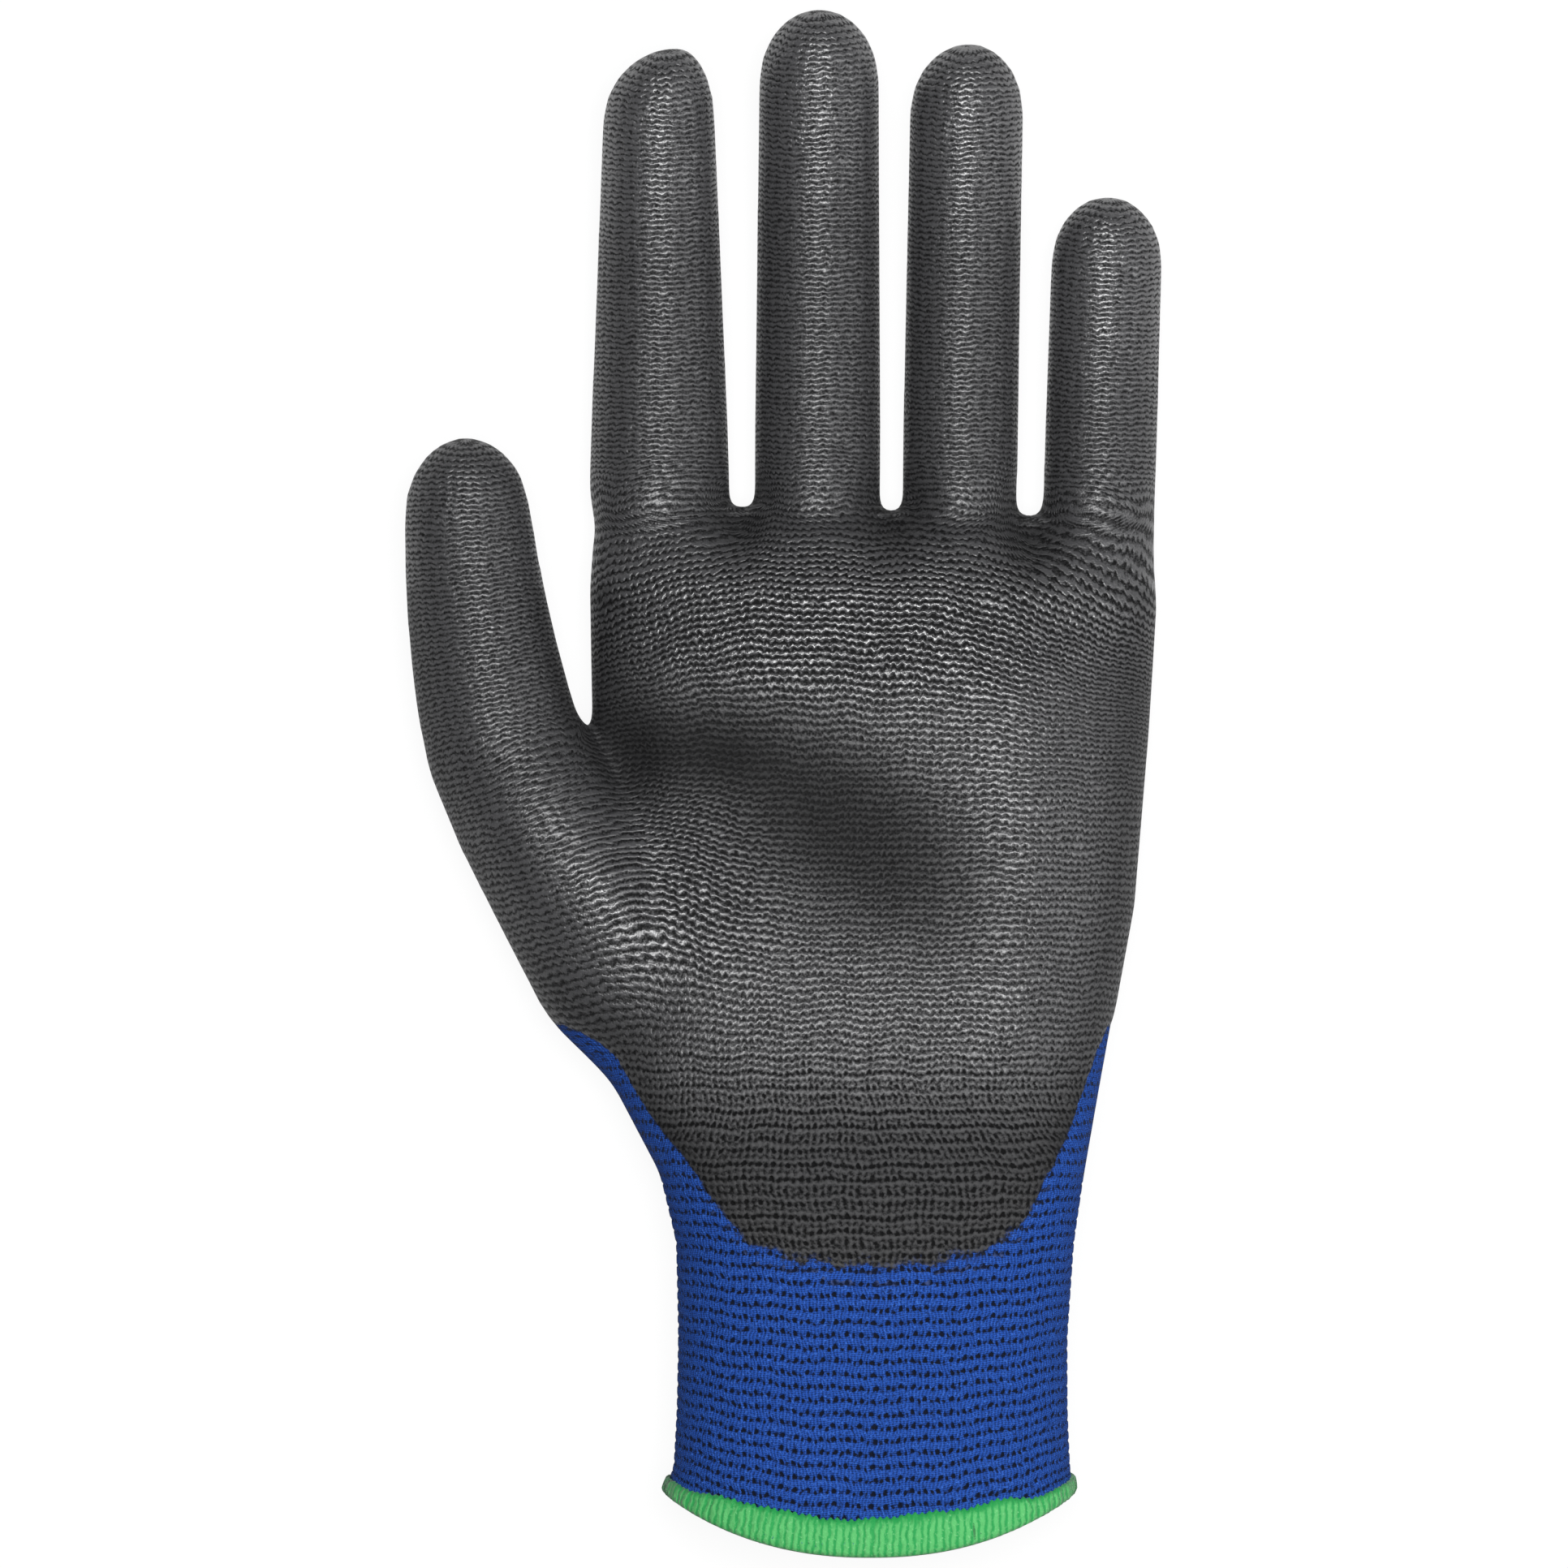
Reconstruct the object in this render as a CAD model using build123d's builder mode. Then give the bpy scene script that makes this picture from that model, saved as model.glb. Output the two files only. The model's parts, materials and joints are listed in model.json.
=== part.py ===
from build123d import *
import os
from collections import namedtuple
from functools import cache
from math import copysign, cos, pi, radians, sin

# Palm-dipped knitted work glove for a left hand, in the shape that it has on a hand.
# It lies on its back. +X points to the little finger, +Y to the fingertips and +Z out of the palm.
# The origin is on the resting surface, under the middle of the glove.

# ---------------------------------------------------------------- driving dimensions, in millimetres
KNIT_WALL = 1.2  # thickness of the knitted liner
FILM = 0.3  # thickness of the polyurethane film on the knit
FOLD_GAP = 0.5  # gap between the zones at each fold line

CENTRE_X = 13.8  # centre line of the palm and of the cuff
PALM_WIDTH = 87.6  # across the four knuckles
PALM_DEPTH = 27.0  # palm to back, across the middle of the palm
PALM_LENGTH = 102.6  # wrist line to finger roots
WRIST_Y = -60.0  # where the hand ends and the cuff begins
WRIST_DEPTH = 37.0  # palm to back at the wrist
CUFF_LENGTH = 60.0  # wrist line to the lower edge of the hem
CUFF_WIDTH = 60.3  # across the narrowest part of the cuff
CUFF_DEPTH = 35.5  # palm to back of the cuff
CUFF_LIFT = 1.0  # how far the cuff stays above the resting surface
PALM_SQUARENESS = 2.6  # power of the palm's oval: 2 is an ellipse, more is boxier

HEM_HEIGHT = 6.0  # height of the overlocked hem
HEM_PROUD = 0.6  # how far the hem's thread stands out of the knit, inside and outside

YARN_COUNT = 8  # elastic yarns laid into the cuff
YARN_SIZE = 0.6  # thickness of one elastic yarn
YARN_PITCH = 5.4  # from one elastic yarn to the next
YARN_START = 11.0  # from the lower edge of the hem to the first yarn

DIP_HEIGHT = 6.0  # the film ends this high above the resting surface
DIP_EDGE_Y = -75.0  # lowest point of the film's edge on the palm side
DIP_SIDE_RUN = 50.0  # how much higher up the hand the edge is where it leaves the palm side

# One finger or thumb: root point, heading (degrees from +Y towards the thumb), sideways bow and rise
# of the tip by its natural curl, lengths of its zones, half width and half depth at the root and at
# the start of the rounded tip, length of the rounded tip, and the stations that lead from the root
# back into the hand: distance to the right and down the hand, height, half width and half depth.
Digit = namedtuple("Digit", "name root heading bow curl zones half_width half_depth tip_length heel")

FINGER_HEEL = ((0.0, 24.0, 12.0, 6.5, 6.0), (0.0, 10.0, 11.0, 8.0, 7.8))
THUMB_HEEL = (
    (27.0, 52.0, 14.4, 7.0, 6.0),
    (20.0, 38.0, 15.8, 14.8, 11.6),
    (13.2, 23.0, 17.4, 15.8, 15.2),
    (5.6, 10.0, 16.4, 14.6, 14.2),
)
ROOT_Z = 10.0  # height of the finger centre lines at the roots
THUMB_Z = 15.0  # height of the thumb's centre line at its root
KNUCKLE_Y = WRIST_Y + PALM_LENGTH  # line of the finger roots


def across(share):
    """The x of a point that lies a share of the palm's half width from its centre line."""
    return CENTRE_X + share * PALM_WIDTH / 2


DIGITS = [
    Digit("index", (across(-0.758), KNUCKLE_Y + 2.6, ROOT_Z), 0.0, 0.0, 9.0,
          (25.0, 23.0, 20.8), (10.8, 8.4), (9.5, 7.6), 10.5, FINGER_HEEL),
    Digit("middle", (across(-0.196), KNUCKLE_Y + 2.6, ROOT_Z), -0.2, 0.0, 10.0,
          (27.0, 25.0, 22.7), (9.6, 9.0), (9.4, 7.8), 11.0, FINGER_HEEL),
    Digit("ring", (across(0.310), KNUCKLE_Y + 2.4, ROOT_Z), -0.9, 0.0, 9.0,
          (25.3, 23.7, 20.6), (8.7, 8.5), (9.0, 7.5), 10.5, FINGER_HEEL),
    Digit("little", (across(0.806), KNUCKLE_Y + 0.6, ROOT_Z), -1.6, 0.0, 5.0,
          (17.5, 15.5, 14.9), (8.5, 8.3), (8.6, 7.2), 10.0, FINGER_HEEL),
    Digit("thumb", (across(-1.310), WRIST_Y + 66.3, THUMB_Z), 14.0, 6.0, 3.0,
          (24.0, 23.8), (12.1, 9.6), (11.6, 8.4), 12.5, THUMB_HEEL),
]
ZONE_NAMES = {3: ("root", "middle", "tip"), 2: ("root", "tip")}

# Half sections of the hand and cuff, from the hem to the knuckles: height up the cuff or palm,
# half width to the left and to the right of the centre line, lowest and highest point, and the
# slope of the section towards the little finger in degrees.
HALF_PALM = PALM_WIDTH / 2
HALF_CUFF = CUFF_WIDTH / 2
CUFF_TOP = CUFF_LIFT + CUFF_DEPTH
HEM_Y = WRIST_Y - CUFF_LENGTH
HAND_STATIONS = [
    (HEM_Y, HALF_CUFF + 2.0, HALF_CUFF + 0.6, CUFF_LIFT - 0.4, CUFF_TOP + 0.6, 0),
    (HEM_Y + 0.15 * CUFF_LENGTH, HALF_CUFF + 0.9, HALF_CUFF + 0.2, CUFF_LIFT, CUFF_TOP, 0),
    (HEM_Y + 0.50 * CUFF_LENGTH, HALF_CUFF, HALF_CUFF, CUFF_LIFT, CUFF_TOP, 0),
    (HEM_Y + 0.80 * CUFF_LENGTH, HALF_CUFF + 0.6, HALF_CUFF + 0.9, CUFF_LIFT - 0.2, CUFF_TOP + 0.3, 0),
    (WRIST_Y, 0.76 * HALF_PALM, 0.75 * HALF_PALM, 0.2, WRIST_DEPTH, 0),
    (WRIST_Y + 0.14 * PALM_LENGTH, 0.92 * HALF_PALM, 0.80 * HALF_PALM, -0.3, 0.93 * WRIST_DEPTH, 0),
    (WRIST_Y + 0.40 * PALM_LENGTH, 0.96 * HALF_PALM, 0.92 * HALF_PALM, -0.6, 1.12 * PALM_DEPTH, 0),
    (WRIST_Y + 0.66 * PALM_LENGTH, 0.99 * HALF_PALM, 0.97 * HALF_PALM, -0.6, PALM_DEPTH, 0),
    (WRIST_Y + 0.87 * PALM_LENGTH, HALF_PALM, HALF_PALM, -0.6, 0.96 * PALM_DEPTH, -1.2),
    (WRIST_Y + 0.96 * PALM_LENGTH, HALF_PALM - 0.6, HALF_PALM - 0.4, 0.6, 0.80 * PALM_DEPTH, -2.2),
    (KNUCKLE_Y, HALF_PALM - 3.0, HALF_PALM - 2.4, 3.6, 0.62 * PALM_DEPTH, -2.2),
]
SECTION_POINTS = 16  # points that carry one closed section curve
LINER = FILM  # the knit's outer face lies one film thickness inside the glove's outline
CAVITY = FILM + KNIT_WALL  # and its inner face lies a wall further in


# ---------------------------------------------------------------- sections
def palm_oval(plane, half_width, half_depth):
    """One closed superellipse on a plane, as a section of the hand."""
    points = []
    for step in range(SECTION_POINTS):
        angle = 2 * pi * step / SECTION_POINTS
        u = copysign(abs(cos(angle)) ** (2 / PALM_SQUARENESS), cos(angle))
        v = copysign(abs(sin(angle)) ** (2 / PALM_SQUARENESS), sin(angle))
        points.append((half_width * u, half_depth * v))
    with BuildSketch(plane) as section:
        with BuildLine():
            Spline(*points, periodic=True)
        make_face()
    return section.sketch


def digit_oval(plane, half_width, half_depth):
    """One ellipse on a plane, as a section of a finger or the thumb."""
    with BuildSketch(plane) as section:
        Ellipse(half_width, half_depth)
    return section.sketch


@cache
def hand_form(inset):
    """The hand and cuff as one closed form, a constant distance inside the glove's outline."""
    with BuildPart() as form:
        for number, (y, left, right, low, high, slope) in enumerate(HAND_STATIONS):
            if number == 0 and inset > LINER:
                y -= 1  # the cavity runs out through the mouth
            if number == len(HAND_STATIONS) - 1:
                y -= inset
            middle = (CENTRE_X + (right - left) / 2, y, (low + high) / 2)
            facing = (sin(radians(-slope)), cos(radians(slope)), 0)
            plane = Plane(origin=middle, x_dir=(facing[1], -facing[0], 0), z_dir=facing)
            add(palm_oval(plane, (left + right) / 2 - inset, (high - low) / 2 - inset))
        loft()
    return form.part


# ---------------------------------------------------------------- digits
def shaft_length(digit):
    """Length of a digit from its root to the start of its rounded tip."""
    return sum(digit.zones) - digit.tip_length


def centre_point(digit, distance):
    """A point on a digit's centre line, which lifts off the surface by its curl."""
    turn = radians(digit.heading)
    bend = (distance / sum(digit.zones)) ** 2
    x, y, z = digit.root
    sideways = digit.bow * bend - distance * sin(turn)
    return Vector(x + sideways, y + distance * cos(turn), z + digit.curl * bend)


def centre_direction(digit, distance):
    """The direction of a digit's centre line."""
    step = 0.01
    return (centre_point(digit, distance + step) - centre_point(digit, distance - step)).normalized()


def half_sizes(digit, distance):
    """Half width and half depth of a digit's shaft."""
    share = max(distance, 0) / shaft_length(digit)
    wide, narrow = digit.half_width
    deep, shallow = digit.half_depth
    return wide + (narrow - wide) * share, deep + (shallow - deep) * share


def crosswise(point, direction):
    """The plane square to a digit, with its x axis level and pointing to the little finger."""
    return Plane(origin=point, x_dir=(direction.Y, -direction.X, 0), z_dir=direction)


def fold_plane(digit, number):
    """The plane square to a digit at one of its fold lines: 0 is at the root."""
    distance = sum(digit.zones[:number])
    return crosswise(centre_point(digit, distance), centre_direction(digit, distance))


@cache
def digit_form(digit, inset):
    """A digit as one closed form from inside the hand to its rounded tip."""
    x, y, _ = digit.root
    rows = [(Vector(x + right, y - down, z), w, d) for right, down, z, w, d in digit.heel]
    shaft = shaft_length(digit)
    for share in (0, 1 / 3, 2 / 3, 1):
        rows.append((centre_point(digit, share * shaft), *half_sizes(digit, share * shaft)))
    end, half_width, half_depth = rows[-1]
    forward = centre_direction(digit, shaft)
    with BuildPart() as form:
        for number, (point, w, d) in enumerate(rows):
            before = rows[max(number - 1, 0)][0]
            after = rows[number + 1][0] if number + 1 < len(rows) else end + forward
            add(digit_oval(crosswise(point, (after - before).normalized()), w - inset, d - inset))
        for angle in (24, 44, 60, 73, 82):
            plane = crosswise(end + forward * (digit.tip_length - inset) * sin(radians(angle)), forward)
            size = cos(radians(angle))
            add(digit_oval(plane, (half_width - inset) * size, (half_depth - inset) * size))
        loft()
    return form.part


def digit_zone(digit, inset, number):
    """One zone of a digit's closed form, between its two fold lines. Zone -1 is inside the hand."""
    with BuildPart() as zone:
        add(digit_form(digit, inset))
        if number >= 0:
            split(bisect_by=fold_plane(digit, number).offset(FOLD_GAP / 2), keep=Keep.TOP)
        if number + 1 < len(digit.zones):
            split(bisect_by=fold_plane(digit, number + 1).offset(-FOLD_GAP / 2), keep=Keep.BOTTOM)
    return zone.part


@cache
def glove_form(inset):
    """The whole glove as one closed form: hand, cuff, fingers and thumb."""
    with BuildPart() as form:
        add(hand_form(inset))
        add([digit_form(digit, inset) for digit in DIGITS])
    return form.part


@cache
def dipped_zone():
    """The space that the dip reaches: above a level, which tilts up at the wrist."""
    palm_top = CUFF_TOP + 0.6
    above = 2 * palm_top  # past every point of the glove
    beyond = 2 * (PALM_WIDTH + PALM_LENGTH)
    with BuildPart() as zone:
        with BuildSketch(Plane.YZ):
            with BuildLine():
                Polyline(
                    (beyond, DIP_HEIGHT),
                    (DIP_EDGE_Y + DIP_SIDE_RUN, DIP_HEIGHT),
                    (DIP_EDGE_Y, palm_top),
                    (DIP_EDGE_Y, above),
                    (beyond, above),
                    close=True,
                )
            make_face()
        extrude(amount=beyond, both=True)
    return zone.part


# ---------------------------------------------------------------- hand
os.makedirs("parts", exist_ok=True)
PALM_SIDE = Keep.BOTTOM  # of a plane square to Y that looks down the hand
CUFF_SIDE = Keep.TOP


def square_to_y(y):
    """The plane square to the hand's length at one y, looking down the hand."""
    return Plane.XZ.offset(-y)


with BuildPart() as hand_liner:
    add(hand_form(LINER))
    split(bisect_by=square_to_y(WRIST_Y), keep=PALM_SIDE)
    add([digit_zone(digit, LINER, -1) for digit in DIGITS])
    add(glove_form(CAVITY), mode=Mode.SUBTRACT)
    split(bisect_by=Plane.XY, keep=Keep.TOP)
hand_liner.part.label = "hand_liner"
export_step(hand_liner.part, "parts/hand_liner.step")

with BuildPart() as palm_coating:
    add(hand_form(0))
    add([digit_zone(digit, 0, -1) for digit in DIGITS])
    add(dipped_zone(), mode=Mode.INTERSECT)
    add(glove_form(LINER), mode=Mode.SUBTRACT)
palm_coating.part.label = "palm_coating"
export_step(palm_coating.part, "parts/palm_coating.step")

# ---------------------------------------------------------------- cuff
with BuildPart() as yarn_slices:
    with Locations([(CENTRE_X, HEM_Y + YARN_START + row * YARN_PITCH) for row in range(YARN_COUNT)]):
        Box(3 * CUFF_WIDTH, YARN_SIZE, 3 * CUFF_DEPTH)

# The yarns lie half in the knit and half proud of its inner face.
with BuildPart() as elastic_yarns:
    add(hand_form(CAVITY - YARN_SIZE / 2))
    add(hand_form(CAVITY + YARN_SIZE / 2), mode=Mode.SUBTRACT)
    add(yarn_slices.part, mode=Mode.INTERSECT)
elastic_yarns.part.label = "elastic_yarns"
export_step(elastic_yarns.part, "parts/elastic_yarns.step")

with BuildPart() as wrist_cuff:
    add(hand_form(LINER))
    split(bisect_by=square_to_y(WRIST_Y), keep=CUFF_SIDE)
    add(hand_form(CAVITY), mode=Mode.SUBTRACT)
    split(bisect_by=square_to_y(HEM_Y + HEM_PROUD), keep=PALM_SIDE)
    add(elastic_yarns.part, mode=Mode.SUBTRACT)
wrist_cuff.part.label = "wrist_cuff"
export_step(wrist_cuff.part, "parts/wrist_cuff.step")

# The thread wraps round the raw edge of the cuff, so the cuff's edge lies inside it.
with BuildPart() as cuff_hem:
    add(hand_form(LINER - HEM_PROUD))
    split(bisect_by=square_to_y(HEM_Y + HEM_HEIGHT), keep=CUFF_SIDE)
    add(hand_form(CAVITY + HEM_PROUD), mode=Mode.SUBTRACT)
    add(wrist_cuff.part, mode=Mode.SUBTRACT)
cuff_hem.part.label = "cuff_hem"
export_step(cuff_hem.part, "parts/cuff_hem.step")

# ---------------------------------------------------------------- fingers and thumb
for digit in DIGITS:
    for number, zone_name in enumerate(ZONE_NAMES[len(digit.zones)]):
        name = f"{digit.name}_{zone_name}"
        with BuildPart() as zone_liner:
            add(digit_zone(digit, LINER, number))
            add(digit_form(digit, CAVITY), mode=Mode.SUBTRACT)
        zone_liner.part.label = f"{name}_liner"
        export_step(zone_liner.part, f"parts/{name}_liner.step")

        # The dip takes in the whole of each fingertip, and elsewhere it stops at its level.
        with BuildPart() as zone_coating:
            add(digit_zone(digit, 0, number))
            if zone_name != "tip":
                add(dipped_zone(), mode=Mode.INTERSECT)
            add(digit_form(digit, LINER), mode=Mode.SUBTRACT)
        zone_coating.part.label = f"{name}_coating"
        export_step(zone_coating.part, f"parts/{name}_coating.step")
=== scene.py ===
# %% [markdown]
# # A knitted work glove with a dipped palm
# The glove lies on its back on a pale floor, palm up. A CAD model gives its frame: where the hand,
# the cuff and the fold of every finger are. Here the glove gets its skin: a knitted liner in blue
# yarn, a thin dark film of polyurethane over the palm side, a cuff and a green overlocked hem.
# First the frame is loaded.

# %% Load the frame
import json
from math import cos, pi, radians, sin, tau

import bmesh
import bpy
import numpy as np
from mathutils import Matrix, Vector


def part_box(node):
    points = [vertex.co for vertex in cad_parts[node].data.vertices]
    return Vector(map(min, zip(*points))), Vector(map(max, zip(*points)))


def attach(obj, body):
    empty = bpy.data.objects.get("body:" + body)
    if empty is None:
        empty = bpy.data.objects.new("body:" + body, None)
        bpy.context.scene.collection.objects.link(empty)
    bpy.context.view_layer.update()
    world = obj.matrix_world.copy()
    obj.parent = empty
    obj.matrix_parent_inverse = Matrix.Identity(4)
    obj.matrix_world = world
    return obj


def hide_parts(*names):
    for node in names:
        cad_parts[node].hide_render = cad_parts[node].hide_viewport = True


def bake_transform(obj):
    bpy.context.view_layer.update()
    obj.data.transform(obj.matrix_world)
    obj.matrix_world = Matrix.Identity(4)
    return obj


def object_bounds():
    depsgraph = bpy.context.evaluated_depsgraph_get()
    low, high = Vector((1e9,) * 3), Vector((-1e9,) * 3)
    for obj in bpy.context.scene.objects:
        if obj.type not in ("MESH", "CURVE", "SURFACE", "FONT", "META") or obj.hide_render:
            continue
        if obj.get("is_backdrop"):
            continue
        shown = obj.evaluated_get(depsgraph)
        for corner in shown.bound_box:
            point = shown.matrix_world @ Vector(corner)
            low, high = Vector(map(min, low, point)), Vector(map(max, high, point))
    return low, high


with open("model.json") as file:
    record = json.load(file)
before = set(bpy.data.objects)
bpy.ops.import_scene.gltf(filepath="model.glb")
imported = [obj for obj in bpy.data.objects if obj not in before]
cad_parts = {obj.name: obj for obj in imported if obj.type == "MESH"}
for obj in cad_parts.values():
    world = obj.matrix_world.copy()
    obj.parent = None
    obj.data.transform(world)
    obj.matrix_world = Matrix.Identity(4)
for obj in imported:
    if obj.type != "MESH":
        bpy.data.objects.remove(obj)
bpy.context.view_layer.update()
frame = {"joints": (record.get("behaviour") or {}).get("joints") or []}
MM = 0.001

# %% [markdown]
# Everything imported is selected, and an operator acts on all that is selected. So one helper makes
# an object the only selected one, and another applies a modifier as the button on its panel does.
# Places of vertices are read and written as arrays, in millimetres, because a glove's sizes are
# easier to read that way.


# %% Helpers for objects, modifiers and vertices
def only(thing):
    """Selects one object alone and makes it active."""
    bpy.ops.object.select_all(action="DESELECT")
    thing.select_set(True)
    bpy.context.view_layer.objects.active = thing
    return thing


def apply_modifier(thing, kind, **settings):
    """Adds a modifier, sets it and applies it."""
    only(thing)
    modifier = thing.modifiers.new(kind, kind)
    for key, value in settings.items():
        setattr(modifier, key, value)
    bpy.ops.object.modifier_apply(modifier=modifier.name)


def read_all(items, field, size=1, kind=np.float32):
    """A number, or a row of numbers, from every vertex, face or corner."""
    flat = np.empty(size * len(items), kind)
    items.foreach_get(field, flat)
    return flat.reshape(-1, size) if size > 1 else flat


def points_of(thing):
    """The places of a mesh's vertices in millimetres, one row each."""
    return read_all(thing.data.vertices, "co", 3).astype(float) / MM


def set_points(thing, rows):
    """Puts a mesh's vertices at these places in millimetres."""
    thing.data.vertices.foreach_set("co", (rows * MM).astype(np.float32).ravel())
    thing.data.update()


def normals_of(thing):
    """The outward directions of a mesh's vertices."""
    return read_all(thing.data.vertex_normals, "vector", 3).astype(float)


def smoothstep(low, high, value):
    """0 below low, 1 above high, and a smooth rise between them."""
    share = np.clip((value - low) / (high - low), 0, 1)
    return share * share * (3 - 2 * share)


bpy.ops.object.select_all(action="DESELECT")

# %% [markdown]
# ## The form of the glove
# A glove in the shape of a hand is a sleeve with five tubes on it. Each tube is grown from one
# circle by extruding it again and again and placing each new ring, as one does by hand. The frame
# gives the root and the length of every finger; how wide and deep it is, and how it leans and
# curls, is said in a short table.

# %% Fingers and thumb
ZONES = {name: ("root", "middle", "tip") for name in ("index", "middle", "ring", "little")}
ZONES["thumb"] = ("root", "tip")
FOLDS = {joint["name"]: joint for joint in frame["joints"]}


class Digit:
    """A finger or the thumb: its centre line and its oval sections, in millimetres."""

    def __init__(self, name, lean, bow, curl, half_width, half_depth, tip_length, tip_shift, heel):
        self.name, self.lean, self.bow, self.curl = name, radians(lean), bow, curl
        self.half_width, self.half_depth = half_width, half_depth
        self.tip_length, self.tip_shift, self.heel = tip_length, tip_shift, heel
        root = np.array(FOLDS[f"{name}_root_fold"]["pos_m"]) / MM
        self.root = root - (0, 0, half_depth[0])
        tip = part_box(f"{name}_tip_coating")[1].y / MM
        self.length = (tip - self.root[1]) / cos(self.lean)
        self.shaft = self.length - tip_length
        self.folds = []
        for zone in ZONES[name]:
            pos = np.array(FOLDS[f"{name}_{zone}_fold"]["pos_m"]) / MM
            self.folds.append((pos[1] - self.root[1]) / cos(self.lean))

    def centre(self, distance):
        """Points on the centre line, some way from the root."""
        s = np.asarray(distance, float)
        bend = (s / self.length) ** 2
        x = self.root[0] - s * sin(self.lean) + self.bow * bend
        return np.stack([x, self.root[1] + s * cos(self.lean), self.root[2] + self.curl * bend], -1)

    def forward(self, distance):
        """Unit direction of the centre line."""
        step = self.centre(np.asarray(distance) + 0.01) - self.centre(np.asarray(distance) - 0.01)
        return step / np.linalg.norm(step, axis=-1, keepdims=True)

    def half_sizes(self, distance):
        """Half width and half depth of the shaft."""
        share = np.clip(np.asarray(distance) / self.shaft, 0, 1)
        return (
            self.half_width[0] + (self.half_width[1] - self.half_width[0]) * share,
            self.half_depth[0] + (self.half_depth[1] - self.half_depth[0]) * share,
        )

    def along(self, rows):
        """Where rows of points lie on this digit: distance, sideways and height off its centre line."""
        level = (rows - self.root)[:, :2] @ np.array([-sin(self.lean), cos(self.lean)])
        for _ in range(2):
            ahead = self.forward(level)
            level = level + np.einsum("ij,ij->i", rows - self.centre(level), ahead)
        off = rows - self.centre(level)
        ahead = self.forward(level)
        side = np.stack([ahead[:, 1], -ahead[:, 0], 0 * level], -1)
        side /= np.linalg.norm(side, axis=1, keepdims=True)
        up = np.cross(side, ahead)
        return level, np.einsum("ij,ij->i", off, side), np.einsum("ij,ij->i", off, up)


# Heel sections lead from the root back into the hand: right and down from the root, height, sizes.
FINGER_HEEL = ((0, 26, 12, 6.5, 6.5), (0, 12, 11.5, 8.2, 8.4))
THUMB_HEEL = (
    (26.0, 52, 14.6, 7.6, 7.2),
    (20.0, 38, 16.0, 13.8, 12.2),
    (13.0, 23, 17.0, 14.2, 14.0),
    (5.4, 10, 16.2, 13.2, 13.4),
)
DIGITS = [
    Digit("index", 0.0, 0, 9, (10.8, 8.4), (9.5, 7.6), 11.5, 3.0, FINGER_HEEL),
    Digit("middle", -0.2, 0, 10, (9.6, 9.0), (9.4, 7.8), 11.0, 0.0, FINGER_HEEL),
    Digit("ring", -0.9, 0, 9, (8.7, 8.5), (9.0, 7.5), 10.5, 0.3, FINGER_HEEL),
    Digit("little", -1.6, 0, 5, (8.5, 8.3), (8.6, 7.2), 10.0, 0.0, FINGER_HEEL),
    Digit("thumb", 14.0, 6, 3, (12.1, 9.6), (11.2, 8.4), 12.5, 0.0, THUMB_HEEL),
]
THUMB = DIGITS[-1]
for digit in DIGITS:
    print(digit.name, "length", round(digit.length, 1), "folds at", np.round(digit.folds, 1))

# %% [markdown]
# The hand and the cuff are one sleeve. Its sections are superellipses, which are flatter than an
# ellipse on the palm and the back and rounder than a box at the sides. Each row of the table is one
# section: how far it lies from the wrist line, its left and right edges from the centre line, and
# its lowest and highest point.

# %% The hand and the cuff
WRIST_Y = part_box("hand_liner")[0].y / MM
HEM_LOW, HEM_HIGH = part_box("cuff_hem")
# The centre line of the hand lies a little to the right of the middle of the hem.
CENTRE_SHIFT = 0.7
CENTRE_X = (HEM_LOW.x + HEM_HIGH.x) / 2 / MM + CENTRE_SHIFT
SQUARENESS = 2.6
SWEEP_POWER = 2.2
RIM = -57.4
HAND = np.array([
    # from wrist, left, right, low, high, how far the sides sweep up the hand
    (RIM, 32.2, 30.8, 0.8, 36.8, 8.4),
    (-51.0, 31.0, 30.4, 1.0, 36.5, 5.4),
    (-40.0, 30.5, 30.0, 1.0, 36.5, 3.6),
    (-28.0, 30.3, 30.0, 1.0, 36.5, 2.6),
    (-12.0, 30.6, 31.0, 0.8, 36.9, 1.2),
    (0.0, 33.2, 32.6, 0.2, 37.0, 0.0),
    (14.4, 41.0, 35.2, -0.1, 34.6, 0.0),
    (41.0, 42.4, 40.2, -0.3, 30.4, 0.0),
    (67.7, 43.4, 42.5, -0.3, 27.2, 0.0),
    (89.3, 43.8, 43.8, -0.3, 25.9, 0.0),
    (98.5, 43.2, 43.4, 0.8, 21.8, 0.0),
    (102.0, 41.2, 41.6, 3.6, 17.0, 0.0),
])
KNUCKLE_SLOPE = radians(-2.0)


def superellipse(angles, squareness=SQUARENESS):
    """Points of a superellipse with half sizes of 1."""
    c, s = np.cos(angles), np.sin(angles)
    power = 2 / squareness
    return np.sign(c) * np.abs(c) ** power, np.sign(s) * np.abs(s) ** power


def hand_ring(from_wrist, angles):
    """One section of the hand and cuff as rows of points."""
    left, right, low, high, sweep = (np.interp(from_wrist, HAND[:, 0], HAND[:, k]) for k in range(1, 6))
    across, up = superellipse(angles)
    slope = KNUCKLE_SLOPE * smoothstep(60, 98, from_wrist)
    reach = across * (left + right) / 2
    x = CENTRE_X + (right - left) / 2 + reach
    y = WRIST_Y + from_wrist + reach * np.sin(slope) + sweep * np.abs(across) ** SWEEP_POWER
    return np.stack([x, y, (low + high) / 2 + up * (high - low) / 2], -1)


ROUND = np.arange(64) * tau / 64


def digit_ring(centre, ahead, half_width, half_depth, angles=ROUND):
    """One oval section of a digit as rows of points."""
    side = np.array([ahead[1], -ahead[0], 0]) / np.hypot(ahead[0], ahead[1])
    up = np.cross(side, ahead)
    return centre + np.outer(half_width * np.cos(angles), side) + np.outer(half_depth * np.sin(angles), up)


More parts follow.
